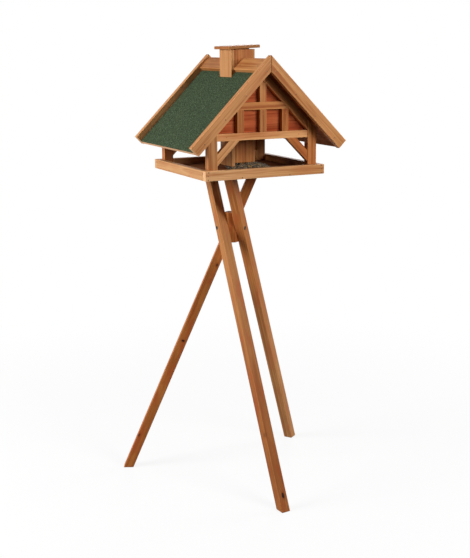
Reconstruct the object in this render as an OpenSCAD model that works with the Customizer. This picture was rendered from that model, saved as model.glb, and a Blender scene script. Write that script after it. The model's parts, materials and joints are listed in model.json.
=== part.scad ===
// Gabled bird feeder with a filling chimney, carried on a three-legged crossed stand.
// Origin: on the ground, in the middle of the rectangle that feet and roof take up.
// +Z is up, the front gable faces -Y, the ridge runs along Y. All sizes in millimetres.

/* [Stand] */
// Height of the tray's underside above the ground
stand_h = 995; // [700:5:1300]
// Side of the square legs
leg_s = 30; // [24:1:38]
// Angle of a leg away from upright
leg_lean = 23.3; // [17:0.1:27]
// Drop from the tray's underside to the middle of the block where the legs cross
cross_drop = 177; // [120:1:300]
// Width of the six-sided block across its flats
block_w = 41.5; // [36:0.5:60]
// Height of the block
block_h = 95; // [70:1:140]
// Where the stand's centre is, left or right of the tray's centre
stand_x = -17; // [-30:1:30]
// Where the stand's centre is, in front of or behind the tray's centre
stand_y = 8; // [-30:1:30]
// Turn of the stand against the house
stand_turn = 5; // [0:1:20]

/* [Tray] */
// Outer width of the tray, left to right
tray_w = 396; // [340:2:460]
// Outer depth of the tray, front to back
tray_d = 392; // [340:2:460]
// Height of the tray's boards
tray_board_h = 29; // [24:1:50]
// Thickness of the tray's boards
tray_board_t = 18; // [12:1:22]
// Thickness of the tray's floor panel
floor_t = 9; // [6:1:14]

/* [Posts and gables] */
// Width of a corner post, left to right
post_w = 30; // [22:1:36]
// Depth of a corner post, front to back
post_d = 22; // [20:1:30]
// Clear height from the tray's floor to the tie beam
opening_h = 102; // [80:1:130]
// Height of the tie beam
tie_h = 21; // [15:1:30]
// Thickness of all the gable sticks
stick_t = 16; // [10:1:20]
// How far the gable sticks stand back from the posts' front
stick_setback = 2; // [0:0.5:6]
// Width of the slanted trims under the roof
trim_w = 21; // [15:1:30]
// Height of the collar beam
collar_h = 22; // [15:1:30]
// Clear height between the tie beam and the collar beam
collar_gap = 66; // [50:1:80]
// Width of the upright studs
stud_w = 22; // [14:1:28]
// Distance of the side studs from the middle one, centre to centre
stud_pitch = 74; // [45:1:76]
// How far a corner brace reaches along the post and the tie beam
brace_reach = 72; // [50:1:90]
// Width of a corner brace
brace_w = 24; // [16:1:28]
// Thickness of the stained gable panels
gable_panel_t = 8; // [5:1:10]

/* [Roof] */
// Height of the bargeboards' peak above the tray's underside
peak_rise = 355; // [345:1:380]
// Roof pitch
pitch = 45; // [42:0.5:46]
// Length of each side of the roof from the peak down
roof_side_l = 360; // [345:5:420]
// Length of the roof along its ridge, over the bargeboards
roof_len = 450; // [430:5:520]
// How far the roof is set towards the back
roof_shift = -3; // [-8:1:8]
// Depth of a bargeboard, square to the slope
barge_w = 33; // [30:1:60]
// Thickness of a bargeboard
barge_t = 19; // [12:1:19]
// How far the bargeboards stand up above the felt
barge_proud = 18.5; // [16:0.5:20]
// Thickness of the roof panels
panel_t = 9; // [6:1:12]
// Thickness of the mineral felt
felt_t = 2; // [1:0.5:3]
// Width of a ridge board
ridge_board_w = 47; // [30:1:70]
// Thickness of a ridge board
ridge_board_t = 14; // [8:1:17]

/* [Hopper and lid] */
// Width of the hopper tube, left to right
hopper_w = 80; // [60:1:100]
// Depth of the hopper tube, front to back
hopper_d = 82; // [60:1:110]
// Thickness of the hopper boards
hopper_t = 11; // [8:1:14]
// Middle of the hopper in front of or behind the tray's centre
hopper_y = -4; // [-20:1:20]
// How far the chimney's mouth stands above the peak of the roof
chimney_rise = 16; // [5:1:60]
// Gap from the tray's floor to the side boards of the hopper
side_gap = 10; // [6:1:20]
// Gap from the tray's floor to the front and back boards of the hopper
seed_gap = 21; // [12:1:35]
// How far the lid stands out beyond the chimney on every side
lid_over = 12; // [4:1:25]
// Thickness of the lid board
lid_t = 9; // [6:1:16]
// Depth of the plug under the lid
plug_h = 10; // [6:1:25]
// How far the resting lid is cocked up at its right edge, in degrees
lid_tilt = 2.5; // [0:0.1:3.5]
// Play between the plug and the chimney's mouth, on each side
plug_play = 1.5; // [1.2:0.1:3]

/* [Seed] */
// Radius of the heap of seed on the tray's floor
heap_r = 66; // [50:1:95]
// Height of the heap
heap_h = 20; // [8:1:24]
// Height of the seed left in the hopper above the tray's floor
seed_level = 130; // [60:5:220]

/* [Fasteners] */
// Diameter of the tray and roof nails
nail_d = 2.2; // [1.8:0.1:3]
// Length of the tray and roof nails
nail_l = 34; // [30:1:38]
// Diameter of a nail head
nail_head_d = 4.5; // [4:0.5:6]
// Diameter of the gable pins
pin_d = 1.6; // [1.2:0.1:2]
// Diameter of the screws that hold the legs to the block
leg_screw_d = 6; // [5:0.5:8]
// Length of those screws in the block
leg_screw_bite = 14; // [8:1:15]
// How far those screws sit beside the middle line of a leg
leg_screw_aside = 6; // [0:1:6]
// Diameter of the screws that hold the tray on the legs
top_screw_d = 5; // [4:0.5:6]
// Length of those screws
top_screw_l = 45; // [30:1:60]

/* [Hidden] */
$fn = 48;
fit = 0.3;          // gap round a piece that passes through another
hole_fit = 0.1;     // gap round a nail, pin or screw in its hole
head_h = 1.2;       // thickness of a nail head
leg_head_d = 2 * leg_screw_d;
leg_head_h = 0.6 * leg_screw_d;
bore_depth = leg_head_h + 0.6;          // counterbore that the leg screw's head sits in
socket_w = 0.62 * leg_screw_d;          // hexagon socket in that head
top_head_d = 2 * top_screw_d;
eps = 0.01;

// Levels
cross_z = stand_h - cross_drop;         // middle of the block
tray_z = stand_h;
floor_z = tray_z + floor_t;             // top of the tray's floor
rim_z = tray_z + tray_board_h;          // top of the tray's boards
tie_z = floor_z + opening_h;
collar_z = tie_z + tie_h + collar_gap;
peak_z = tray_z + peak_rise;
chimney_z = peak_z + chimney_rise;

// Depths below the bargeboards' top line, square to the slope
felt_top = barge_proud;
panel_top = felt_top + felt_t;
panel_low = panel_top + panel_t;
trim_low = panel_low + trim_w;
ridge_top = panel_top - ridge_board_t;
ridge_end = ridge_board_w + ridge_top * tan(pitch);

// Front-to-back places
roof_y0 = roof_shift - roof_len / 2;
roof_y1 = roof_shift + roof_len / 2;
post_x = tray_w / 2 - tray_board_t;     // outer face of the posts
post_y = tray_d / 2 - tray_board_t;     // front face of the front posts, back face of the back ones
bay_x = post_x - post_w;                // inner face of the posts
stick_y = post_y - stick_setback;       // front of the gable sticks
gable_y = stick_y - stick_t;            // front of the gable panel
hopper_y0 = hopper_y - hopper_d / 2;
hopper_y1 = hopper_y + hopper_d / 2;
mouth_w = hopper_w - 2 * hopper_t;
mouth_d = hopper_d - 2 * hopper_t;

// A leg's axis passes this far from the middle of the stand
leg_r = block_w / 2 + leg_s / 2;
leg_bar_l = 2 * stand_h / cos(leg_lean);    // a leg's bar before its ends are cut level
leg_turns = [for (i = [0:2]) i * 360 / 3];
front_turn = stand_turn - 90;               // way that the front leg's foot goes

// The ground that the feet and the roof take up, measured from below the middle of the tray
function turned(p, a) = [p[0] * cos(a) - p[1] * sin(a), p[0] * sin(a) + p[1] * cos(a)];
foot_reach = cross_z * tan(leg_lean);
foot_half = leg_s / 2 / cos(leg_lean);
foot_corners = [for (turn = leg_turns, along = [-1, 1], across = [-1, 1])
    [stand_x, stand_y] + turned([foot_reach + along * foot_half, -leg_r + across * leg_s / 2],
        front_turn + turn)];
roof_corners = [for (side = [-1, 1], y = [roof_y0, roof_y1]) [side * roof_side_l * cos(pitch), y]];
reach_x = [for (p = concat(foot_corners, roof_corners)) p[0]];
reach_y = [for (p = concat(foot_corners, roof_corners)) p[1]];
mid_x = (min(reach_x) + max(reach_x)) / 2;
mid_y = (min(reach_y) + max(reach_y)) / 2;

// ---- Colours -------------------------------------------------------------
pine = [0.74, 0.50, 0.30];
dark_pine = [0.55, 0.33, 0.18];
red_stain = [0.55, 0.25, 0.15];
felt_green = [0.22, 0.30, 0.24];
steel = [0.45, 0.44, 0.42];
seed_grey = [0.33, 0.33, 0.28];

// ---- Shared shapes -------------------------------------------------------

// Every piece is drawn from below the middle of the tray and then set on the origin
module put() translate([-mid_x, -mid_y, 0]) children();

// Point on a right-hand slope: s down the slope from the peak, d square to it below the top line,
// but never past the middle of the roof. The result is x and z from the peak.
function slope_point(s, d) =
    let (on = max(s, d * tan(pitch)))
    [on * cos(pitch) - d * sin(pitch), -on * sin(pitch) - d * cos(pitch)];

// Height of the line at depth d under the slope, at a distance x from the middle
function slope_z(x, d) = peak_z - d / cos(pitch) - abs(x) * tan(pitch);

// A flat outline in x and z, drawn from the peak or from the ground, standing from y0 to y1
module upright(y0, y1)
    translate([0, y1, 0])
        rotate([90, 0, 0])
            linear_extrude(height = y1 - y0)
                children();

// A layer of the right-hand slope between two distances down it and two depths
module slope_layer(s0, s1, d0, d1, y0, y1)
    translate([0, 0, peak_z])
        upright(y0, y1)
            polygon([slope_point(s0, d0), slope_point(s1, d0), slope_point(s1, d1), slope_point(s0, d1)]);

// Everything drawn on the right goes to the side that is asked for
module to_side(side) mirror([side < 0 ? 1 : 0, 0, 0]) children();

// Everything drawn on the front gable goes to the end that is asked for
module to_end(end) mirror([0, end > 0 ? 1 : 0, 0]) children();

// The space under the slanted trims, or under the roof panels, in x and z
module under_slope(d)
    polygon([[0, slope_z(0, d)], [post_x, slope_z(post_x, d)], [post_x, tray_z], [-post_x, tray_z],
        [-post_x, slope_z(post_x, d)]]);

// A nail driven down -Z from a surface at z = 0, with its head let in flush
module nail(d, head_d, length, gap = 0) {
    translate([0, 0, -length - gap]) cylinder(d = d + 2 * gap, h = length + gap);
    translate([0, 0, -head_h - gap]) cylinder(d = head_d + 2 * gap, h = head_h + gap + (gap > 0 ? 1 : 0));
}

// ---- Nail places: [x, y, z], then the turn of the driving direction ------
function face(x, y, z, turn) = [[x, y, z], turn];

nail_low = tray_z + 0.14 * tray_board_h;
nail_high = tray_z + 0.53 * tray_board_h;
post_nail_z = floor_z + 0.6 * (rim_z - floor_z);
floor_nail_z = tray_z + floor_t / 2;

// Through the ends of the front and back boards into the side boards
corner_nails = [for (x = [-1, 1], y = [-1, 1], z = [nail_low, nail_high])
    face(x * (tray_w - tray_board_t) / 2, y * tray_d / 2, z, y < 0 ? 90 : -90)];
// Through the front and back boards into the posts
post_front_nails = [for (x = [-1, 1], y = [-1, 1])
    face(x * (post_x + post_w / 4), y * tray_d / 2, rim_z - 0.75 * nail_head_d, y < 0 ? 90 : -90)];
// Through the side boards into the posts
post_side_nails = [for (x = [-1, 1], y = [-1, 1])
    face(x * tray_w / 2, y * post_y, post_nail_z, x < 0 ? 0 : 180)];
// Through all four boards into the edges of the floor
floor_nails = [for (side = [-1, 1], along = [-1, 1])
    each [face(along * tray_w / 5, side * tray_d / 2, floor_nail_z, side < 0 ? 90 : -90),
        face(side * tray_w / 2, along * tray_d / 5, floor_nail_z, side < 0 ? 0 : 180)]];

module drive(places, d, head_d, length, gap = 0)
    for (place = places)
        translate(place[0])
            rotate([0, 0, place[1]])
                rotate([0, -90, 0])
                    nail(d, head_d, length, gap);

module tray_nail_set(gap = 0)
    drive(concat(corner_nails, post_front_nails, post_side_nails, floor_nails),
        nail_d, nail_head_d, nail_l, gap);

// Distances down the slope of the nails in each bargeboard
barge_nail_s = [for (i = [0:3]) 0.12 * roof_side_l + i * 0.26 * roof_side_l];
barge_nail_l = nail_l;
barge_nail_drop = panel_top + 0.22 * (panel_low - panel_top);    // below the bargeboard's top edge

// Nails through the right-hand bargeboard at one end into the edge of the roof panel
module barge_nail_set(end, gap = 0)
    to_place_of_end(end)
        for (s = barge_nail_s)
            translate([slope_point(s, barge_nail_drop)[0], 0, peak_z + slope_point(s, barge_nail_drop)[1]])
                rotate([90, 0, 0])
                    nail(nail_d, nail_head_d, barge_nail_l, gap);

// Puts what is drawn at y = 0, facing -Y, on the outer face of the front or back bargeboards
module to_place_of_end(end)
    translate([0, end < 0 ? roof_y0 : roof_y1, 0])
        mirror([0, end > 0 ? 1 : 0, 0])
            children();

// Nails down through the right-hand ridge board at one end of the chimney into the roof panel
ridge_nail_l = ridge_board_t + 0.6 * panel_t;
module ridge_nail_set(end, gap = 0) {
    near = end < 0 ? roof_y0 + barge_t : hopper_y1;
    far = end < 0 ? hopper_y0 : roof_y1 - barge_t;
    spot = slope_point(ridge_end - ridge_board_w / 3, ridge_top);
    for (part = [0.15, 0.85])
        translate([spot[0], near + part * (far - near), peak_z + spot[1]])
            rotate([0, pitch, 0])
                nail(nail_d, nail_head_d, ridge_nail_l, gap);
}

module roof_nail_half(gap = 0)
    for (end = [-1, 1]) {
        barge_nail_set(end, gap);
        ridge_nail_set(end, gap);
    }

// Pins through the gable sticks into the gable panel, in x and z
pin_l = stick_t + 0.6 * gable_panel_t;
mid_trim = (panel_low + trim_low) / 2;
trim_pin_s = [for (i = [0:2]) mid_trim * tan(pitch) + 0.09 * roof_side_l + i * 0.2 * roof_side_l];
tie_pins = [for (i = [-1:1]) [i * 0.8 * bay_x, tie_z + tie_h / 2]];
collar_pins = [for (i = [-1, 1]) [i * 0.5 * stud_pitch, collar_z + collar_h / 2]];
stud_pins = [for (i = [-1:1], z = [0.2, 0.8]) [i * stud_pitch, tie_z + tie_h + z * collar_gap]];
top_stud_pins = [[0, collar_z + collar_h + 0.3 * (slope_z(0, trim_low) - collar_z - collar_h)]];
trim_pins = [for (s = trim_pin_s, side = [-1, 1])
    [side * slope_point(s, mid_trim)[0], peak_z + slope_point(s, mid_trim)[1]]];

module pin_set(places, end, gap = 0)
    to_end(end)
        for (place = places)
            translate([place[0], -stick_y, place[1]])
                rotate([90, 0, 0])
                    nail(pin_d, 2 * pin_d, pin_l, gap);

module all_pins(end, gap = 0)
    pin_set(concat(tie_pins, collar_pins, stud_pins, top_stud_pins, trim_pins), end, gap);

// ---- Stand ---------------------------------------------------------------

// Local frame of one leg: its foot goes along +X, its outer face looks along -Y
module to_leg(turn)
    translate([stand_x, stand_y, 0])
        rotate([0, 0, front_turn + turn])
            children();

module leg_screw_place(turn)
    to_leg(turn)
        translate([-leg_screw_aside, -leg_r - leg_s / 2, cross_z])
            rotate([90, 0, 0])
                children();

// Where a leg's axis meets the underside of the tray
module leg_top_place(turn)
    to_leg(turn)
        translate([-cross_drop * tan(leg_lean), -leg_r, floor_z])
            children();

// Round-headed screw with a hexagon socket, sunk into the leg
module leg_screw(gap = 0) {
    length = leg_s + leg_screw_bite;
    translate([0, 0, -length - gap]) cylinder(d = leg_screw_d + 2 * gap, h = length + gap - bore_depth);
    difference() {
        translate([0, 0, -bore_depth - gap])
            cylinder(d = leg_head_d + 2 * gap, h = gap > 0 ? bore_depth + 1 : leg_head_h);
        if (gap == 0)
            translate([0, 0, -bore_depth + leg_head_h / 2])
                cylinder(d = socket_w, h = leg_head_h, $fn = 6);
    }
}

// Countersunk screw down through the tray's floor into the end of a leg
module top_screw(gap = 0) {
    head_drop = (top_head_d - top_screw_d) / 2;
    translate([0, 0, -top_screw_l - gap]) cylinder(d = top_screw_d + 2 * gap, h = top_screw_l);
    translate([0, 0, -head_drop])
        cylinder(d1 = top_screw_d + 2 * gap, d2 = top_head_d + 2 * gap, h = head_drop);
    if (gap > 0)
        translate([0, 0, -eps]) cylinder(d = top_head_d + 2 * gap, h = 1);
}

module leg(turn)
    color(pine)
        difference() {
            intersection() {
                to_leg(turn)
                    translate([0, -leg_r, cross_z])
                        rotate([0, -leg_lean, 0])
                            cube([leg_s, leg_s, leg_bar_l], center = true);
                translate([-stand_h, -stand_h, 0])
                    cube([2 * stand_h, 2 * stand_h, stand_h]);
            }
            leg_screw_place(turn) leg_screw(hole_fit);
            leg_top_place(turn) top_screw(hole_fit);
        }

module leg_block()
    color(dark_pine)
        difference() {
            to_leg(0)
                translate([0, 0, cross_z - block_h / 2])
                    cylinder(d = block_w / cos(30), h = block_h, $fn = 6);
            for (turn = leg_turns)
                leg_screw_place(turn) leg_screw(hole_fit);
        }

module leg_screws()
    color(steel)
        for (turn = leg_turns)
            leg_screw_place(turn) leg_screw();

module leg_top_screws()
    color(steel)
        for (turn = leg_turns)
            leg_top_place(turn) top_screw();

// ---- Tray ----------------------------------------------------------------

module tray_floor()
    color(dark_pine)
        difference() {
            translate([-post_x, -post_y, tray_z])
                cube([2 * post_x, 2 * post_y, floor_t]);
            for (turn = leg_turns)
                leg_top_place(turn) top_screw(hole_fit);
            tray_nail_set(hole_fit);
        }

// The front and back boards run the full width, with the side boards between them
module tray_cross_board(end)
    color(pine)
        difference() {
            translate([-tray_w / 2, end < 0 ? -tray_d / 2 : post_y, tray_z])
                cube([tray_w, tray_board_t, tray_board_h]);
            tray_nail_set(hole_fit);
        }

module tray_side_board(side)
    color(pine)
        difference() {
            translate([side < 0 ? -tray_w / 2 : post_x, -post_y, tray_z])
                cube([tray_board_t, 2 * post_y, tray_board_h]);
            tray_nail_set(hole_fit);
        }

module tray_nails()
    color(steel) tray_nail_set();

// ---- House ---------------------------------------------------------------

module post(end, side)
    color(pine)
        difference() {
            to_end(end)
                to_side(side)
                    upright(-post_y, -post_y + post_d)
                        intersection() {
                            translate([bay_x, floor_z])
                                square([post_w, peak_rise]);
                            under_slope(panel_low);
                        }
            tray_nail_set(hole_fit);
        }

module gable_panel(end)
    color(red_stain)
        difference() {
            to_end(end)
                upright(-gable_y, -gable_y + gable_panel_t)
                    intersection() {
                        translate([-bay_x, tie_z])
                            square([2 * bay_x, peak_rise]);
                        under_slope(panel_low);
                    }
            all_pins(end, hole_fit);
        }

// A gable stick: its outline in x and z, cut off under the slanted trims
module stick(end, pins)
    color(pine)
        difference() {
            to_end(end)
                upright(-stick_y, -gable_y)
                    intersection() {
                        children();
                        under_slope(trim_low);
                    }
            pin_set(pins, end, hole_fit);
        }

module tie_beam(end)
    stick(end, tie_pins)
        translate([-bay_x, tie_z]) square([2 * bay_x, tie_h]);

module collar_beam(end)
    stick(end, collar_pins)
        translate([-bay_x, collar_z]) square([2 * bay_x, collar_h]);

module stud(end, place)
    stick(end, stud_pins)
        translate([place * stud_pitch - stud_w / 2, tie_z + tie_h]) square([stud_w, collar_gap]);

module top_stud(end)
    stick(end, top_stud_pins)
        translate([-stud_w / 2, collar_z + collar_h]) square([stud_w, peak_rise]);

module trim(end, side)
    color(pine)
        difference() {
            to_end(end)
                to_side(side)
                    intersection() {
                        slope_layer(0, roof_side_l, panel_low, trim_low, -stick_y, -gable_y);
                        translate([0, -stick_y, tie_z + tie_h])
                            cube([bay_x, stick_t, peak_rise]);
                    }
            pin_set(trim_pins, end, hole_fit);
        }

// A brace stands in the corner between a post and the tie beam
module brace(end, side) {
    inner = brace_reach - brace_w * sqrt(2);
    color(pine)
        to_end(end)
            to_side(side)
                upright(-stick_y, -gable_y)
                    translate([bay_x, tie_z])
                        polygon([[0, -brace_reach], [0, -inner], [-inner, 0], [-brace_reach, 0]]);
}

module gable_pins()
    color(steel) {
        all_pins(-1);
        all_pins(1);
    }

// ---- Hopper and chimney --------------------------------------------------

module hopper_side_board(side)
    color(pine)
        translate([side < 0 ? -hopper_w / 2 : hopper_w / 2 - hopper_t, hopper_y0, floor_z + side_gap])
            cube([hopper_t, hopper_d, chimney_z - floor_z - side_gap]);

module hopper_cross_board(end)
    color(pine)
        translate([-mouth_w / 2, end < 0 ? hopper_y0 : hopper_y1 - hopper_t, floor_z + seed_gap])
            cube([mouth_w, hopper_t, chimney_z - floor_z - seed_gap]);

// The room that the hopper takes up where it goes through the roof
module hopper_way()
    translate([-hopper_w / 2 - fit, hopper_y0 - fit, tray_z])
        cube([hopper_w + 2 * fit, hopper_d + 2 * fit, peak_rise + chimney_rise]);

// The lid lies cocked on the chimney's left edge
module on_chimney()
    translate([-hopper_w / 2, hopper_y, chimney_z])
        rotate([0, -lid_tilt, 0])
            translate([hopper_w / 2, 0, 0])
                children();

lid_pin_spots = [for (x = [-1, 1], y = [-1, 1]) [x * mouth_w / 3, y * mouth_d / 3]];
lid_pin_l = lid_t + 0.6 * plug_h;

module lid_pin_set(gap = 0)
    on_chimney()
        for (spot = lid_pin_spots)
            translate([spot[0], spot[1], lid_t])
                nail(pin_d, 2 * pin_d, lid_pin_l, gap);

module lid_board()
    color(pine)
        difference() {
            on_chimney()
                translate([-hopper_w / 2 - lid_over, -hopper_d / 2 - lid_over, 0])
                    cube([hopper_w + 2 * lid_over, hopper_d + 2 * lid_over, lid_t]);
            lid_pin_set(hole_fit);
        }

module lid_plug()
    color(dark_pine)
        difference() {
            on_chimney()
                translate([-mouth_w / 2 + plug_play, -mouth_d / 2 + plug_play, -plug_h])
                    cube([mouth_w - 2 * plug_play, mouth_d - 2 * plug_play, plug_h]);
            lid_pin_set(hole_fit);
        }

module lid_pins()
    color(steel) lid_pin_set();

// ---- Roof ----------------------------------------------------------------

module roof_panel(side)
    color(pine)
        to_side(side)
            difference() {
                slope_layer(0, roof_side_l, panel_top, panel_low, roof_y0 + barge_t, roof_y1 - barge_t);
                hopper_way();
                roof_nail_half(hole_fit);
            }

module roof_felt(side)
    color(felt_green)
        to_side(side)
            difference() {
                slope_layer(ridge_end, roof_side_l, felt_top, panel_top, roof_y0 + barge_t, roof_y1 - barge_t);
                hopper_way();
            }

module bargeboard(end, side)
    color(pine)
        to_side(side)
            difference() {
                slope_layer(0, roof_side_l, 0, barge_w,
                    end < 0 ? roof_y0 : roof_y1 - barge_t, end < 0 ? roof_y0 + barge_t : roof_y1);
                barge_nail_set(end, hole_fit);
            }

module ridge_board(end, side)
    color(pine)
        to_side(side)
            difference() {
                slope_layer(0, ridge_end, ridge_top, panel_top,
                    end < 0 ? roof_y0 + barge_t : hopper_y1, end < 0 ? hopper_y0 : roof_y1 - barge_t);
                ridge_nail_set(end, hole_fit);
            }

module roof_nails()
    color(steel)
        for (side = [-1, 1])
            to_side(side) roof_nail_half();

// ---- Seed ----------------------------------------------------------------

// A low heap that has run out of the hopper, and the column of seed still in it
module seed_heap() {
    heap_x = 0.35 * heap_r;
    heap_y = hopper_y0 - heap_r / 10;
    ball_r = (heap_r * heap_r + heap_h * heap_h) / (2 * heap_h);
    block = 2.4 * heap_r;      // keeps only the top of the ball
    color(seed_grey)
        difference() {
            union() {
                intersection() {
                    translate([heap_x, heap_y, floor_z + heap_h - ball_r])
                        sphere(r = ball_r, $fn = 96);
                    translate([heap_x - block / 2, heap_y - block / 2, floor_z])
                        cube([block, block, 1.5 * heap_h]);
                }
                translate([-mouth_w / 2 + fit, hopper_y - mouth_d / 2 + fit, floor_z])
                    cube([mouth_w - 2 * fit, mouth_d - 2 * fit, seed_level]);
            }
            for (side = [-1, 1])
                translate([side * (hopper_w - hopper_t) / 2 - hopper_t / 2 - fit, hopper_y0 - fit,
                    floor_z + side_gap - fit])
                    cube([hopper_t + 2 * fit, hopper_d + 2 * fit, seed_level]);
            for (end = [-1, 1])
                translate([-mouth_w / 2 - fit, hopper_y + end * (hopper_d - hopper_t) / 2 - hopper_t / 2 - fit,
                    floor_z + seed_gap - fit])
                    cube([mouth_w + 2 * fit, hopper_t + 2 * fit, seed_level]);
            for (turn = leg_turns)
                leg_top_place(turn) top_screw(hole_fit);
        }
}

put() tray_floor();
put() tray_cross_board(-1);  // tray_board_front
put() tray_cross_board(1);  // tray_board_back
put() tray_side_board(-1);  // tray_board_left
put() tray_side_board(1);  // tray_board_right
put() post(-1, -1);  // post_front_left
put() post(-1, 1);  // post_front_right
put() post(1, -1);  // post_back_left
put() post(1, 1);  // post_back_right
put() gable_panel(-1);  // gable_panel_front
put() gable_panel(1);  // gable_panel_back
put() tie_beam(-1);  // tie_beam_front
put() tie_beam(1);  // tie_beam_back
put() collar_beam(-1);  // collar_beam_front
put() collar_beam(1);  // collar_beam_back
put() trim(-1, -1);  // trim_front_left
put() trim(-1, 1);  // trim_front_right
put() trim(1, -1);  // trim_back_left
put() trim(1, 1);  // trim_back_right
put() top_stud(-1);  // stud_front_top
put() stud(-1, 0);  // stud_front_middle
put() stud(-1, -1);  // stud_front_left
put() stud(-1, 1);  // stud_front_right
put() top_stud(1);  // stud_back_top
put() stud(1, 0);  // stud_back_middle
put() stud(1, -1);  // stud_back_left
put() stud(1, 1);  // stud_back_right
put() brace(-1, -1);  // brace_front_left
put() brace(-1, 1);  // brace_front_right
put() brace(1, -1);  // brace_back_left
put() brace(1, 1);  // brace_back_right
put() roof_panel(-1);  // roof_panel_left
put() roof_panel(1);  // roof_panel_right
put() roof_felt(-1);  // roof_felt_left
put() roof_felt(1);  // roof_felt_right
put() bargeboard(-1, -1);  // bargeboard_front_left
put() bargeboard(-1, 1);  // bargeboard_front_right
put() bargeboard(1, -1);  // bargeboard_back_left
put() bargeboard(1, 1);  // bargeboard_back_right
put() ridge_board(-1, -1);  // ridge_board_front_left
put() ridge_board(-1, 1);  // ridge_board_front_right
put() ridge_board(1, -1);  // ridge_board_back_left
put() ridge_board(1, 1);  // ridge_board_back_right
put() hopper_side_board(-1);  // hopper_board_left
put() hopper_side_board(1);  // hopper_board_right
put() hopper_cross_board(-1);  // hopper_board_front
put() hopper_cross_board(1);  // hopper_board_back
put() lid_board();
put() lid_plug();
put() leg(leg_turns[0]);  // leg_front
put() leg(leg_turns[1]);  // leg_back_right
put() leg(leg_turns[2]);  // leg_back_left
put() leg_block();
put() leg_screws();
put() leg_top_screws();
put() tray_nails();
put() roof_nails();
put() gable_pins();
put() lid_pins();
put() seed_heap();
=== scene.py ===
"""Looks of the bird feeder: glazed pine house with a felt roof and a filling chimney, on crossed legs."""
import json
import math
import random

import bmesh
import bpy
import numpy
from mathutils import Matrix, Vector, noise


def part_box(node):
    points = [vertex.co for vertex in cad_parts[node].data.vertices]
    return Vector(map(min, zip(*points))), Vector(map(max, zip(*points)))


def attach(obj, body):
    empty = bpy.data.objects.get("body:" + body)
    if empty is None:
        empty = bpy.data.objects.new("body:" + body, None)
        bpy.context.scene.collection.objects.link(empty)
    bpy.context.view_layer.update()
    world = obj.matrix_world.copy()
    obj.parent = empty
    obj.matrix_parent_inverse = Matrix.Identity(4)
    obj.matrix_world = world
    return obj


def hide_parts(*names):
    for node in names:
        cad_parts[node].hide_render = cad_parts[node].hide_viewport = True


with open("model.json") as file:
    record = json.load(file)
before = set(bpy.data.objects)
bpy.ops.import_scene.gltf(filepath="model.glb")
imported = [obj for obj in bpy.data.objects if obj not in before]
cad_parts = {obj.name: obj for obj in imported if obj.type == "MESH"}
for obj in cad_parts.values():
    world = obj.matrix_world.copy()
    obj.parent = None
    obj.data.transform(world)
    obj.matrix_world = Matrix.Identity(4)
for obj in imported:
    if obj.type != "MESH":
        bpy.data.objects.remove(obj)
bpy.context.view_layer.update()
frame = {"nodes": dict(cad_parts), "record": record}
scene = bpy.context.scene
body_of = {node: body for body, nodes in frame["record"]["behaviour"]["bodies"].items() for node in nodes}

# ---- Sizes, in metres -----------------------------------------------------

MM = 0.001
weld = 0.02 * MM                # points closer together than this are one point
flat_angle = 0.3                # faces that meet at less than this many degrees are one face
hull_angle = 0.5                # the same for the faces of an outer shape
same_way = 0.9995               # cosine over which two faces look the same way
square = 0.02                   # cosine under which two edges are square to each other
arris = 1.6 * MM                # rounding of a milled timber edge
beam_arris = 1.0 * MM           # rounding of the beams across a gable
stick_arris = 0.8 * MM          # rounding of a gable's thinner sticks
leg_arris = 2.6 * MM            # rounding of the leg bars
panel_arris = 0.5 * MM          # rounding of a sawn panel edge
felt_arris = 0.5 * MM           # rounding of the felt's cut edge
felt_grid = 18.0 * MM           # spacing of the points that let the felt ripple
felt_ripple = 0.35 * MM         # height of those ripples
nail_rise = 0.35 * MM           # how far a nail head stands out of the wood
turned_tip = 0.05 * MM          # least radius of a turned piece, which can't end in a point
heap_top = 20.0 * MM            # height of the seed heap over the tray's floor
chimney_share = 0.16            # share of the places for seeds that are tried in the chimney
heap_share = 0.9                # share of the other places that lie on the heap, not spilled round it
heap_reach = 1.06               # farthest that seeds lie from the heap's middle, as a share of its radius
spill_reach = 1.25              # the same for spilled seeds
seed_lift = 0.32                # how far a seed's middle lies over the heap, as a share of its thickness
seed_pitch = 0.28               # spread of the angle that a seed is tipped endwise, in radians
seed_roll = 0.3                 # spread of the angle that it is tipped sideways
seed_scales = (0.82, 1.12)      # smallest and largest seed of a kind, as a share of its size


def colour(red, green, blue):
    """Linear colour of a screen colour from 0 to 255."""
    return tuple((c / 255 / 12.92 if c < 11 else ((c / 255 + 0.055) / 1.055) ** 2.4)
                 for c in (red, green, blue)) + (1.0,)


def grey(level):
    """Linear grey from 0, black, to 1, white."""
    return (level, level, level, 1.0)


# ---- Modelling helpers ----------------------------------------------------

def take(piece=None):
    """Makes this piece the only selected and active one, or selects nothing, in object mode."""
    if bpy.context.object and bpy.context.object.mode != "OBJECT":
        bpy.ops.object.mode_set(mode="OBJECT")
    bpy.ops.object.select_all(action="DESELECT")
    if piece:
        piece.select_set(True)
        bpy.context.view_layer.objects.active = piece


def open_mesh(piece):
    """Edit mode with all of the piece's mesh selected."""
    take(piece)
    bpy.ops.object.mode_set(mode="EDIT")
    bpy.ops.mesh.select_all(action="SELECT")


def close_mesh():
    """Back to object mode."""
    bpy.ops.object.mode_set(mode="OBJECT")


def pick_faces(piece, wanted):
    """In edit mode, selects just the faces that the test wants."""
    bpy.ops.mesh.select_mode(type="FACE")
    bpy.ops.mesh.select_all(action="DESELECT")
    mesh = bmesh.from_edit_mesh(piece.data)
    for face in mesh.faces:
        if wanted(face):
            face.select_set(True)
    mesh.select_flush_mode()
    bmesh.update_edit_mesh(piece.data)


def join_flats(degrees):
    """In edit mode, joins all faces that meet at less than this angle."""
    bpy.ops.mesh.select_all(action="SELECT")
    bpy.ops.mesh.dissolve_limited(angle_limit=math.radians(degrees))


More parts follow.
